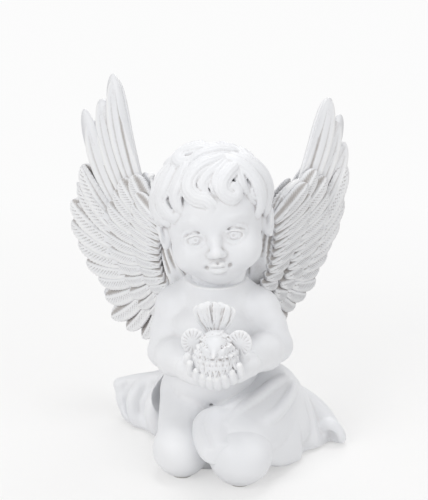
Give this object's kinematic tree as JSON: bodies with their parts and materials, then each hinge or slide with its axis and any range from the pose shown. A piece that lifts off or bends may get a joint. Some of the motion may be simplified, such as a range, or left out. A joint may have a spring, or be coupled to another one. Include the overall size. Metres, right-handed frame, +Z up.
{
  "type": "angel figurine",
  "caption": "Kneeling cherub figurine in matt white cast resin, with spread feathered wings, a draped cloth and a dove held in cupped hands.",
  "frame": {"origin": "middle of the bounding box on the table, at the foot of the middle felt pad", "axes": "+Z up; the figure faces -Y; +X is the viewer's right"},
  "size_m": [0.132, 0.1152, 0.1645],
  "materials": {
    "white_resin": "matt white paint over cast resin, a faint warm-grey wash in the feather grooves",
    "steel_pin": "bright drawn wire",
    "felt": "short off-white felt"
  },
  "bodies": {
    "root": {"body": "white_resin", "head": "white_resin", "drapery": "white_resin", "dove": "white_resin", "left_wing": "white_resin", "right_wing": "white_resin", "neck_pin": "steel_pin", "dove_pin": "steel_pin", "left_wing_pins": "steel_pin", "right_wing_pins": "steel_pin", "felt_pads": "felt"}
  },
  "joints": []
}
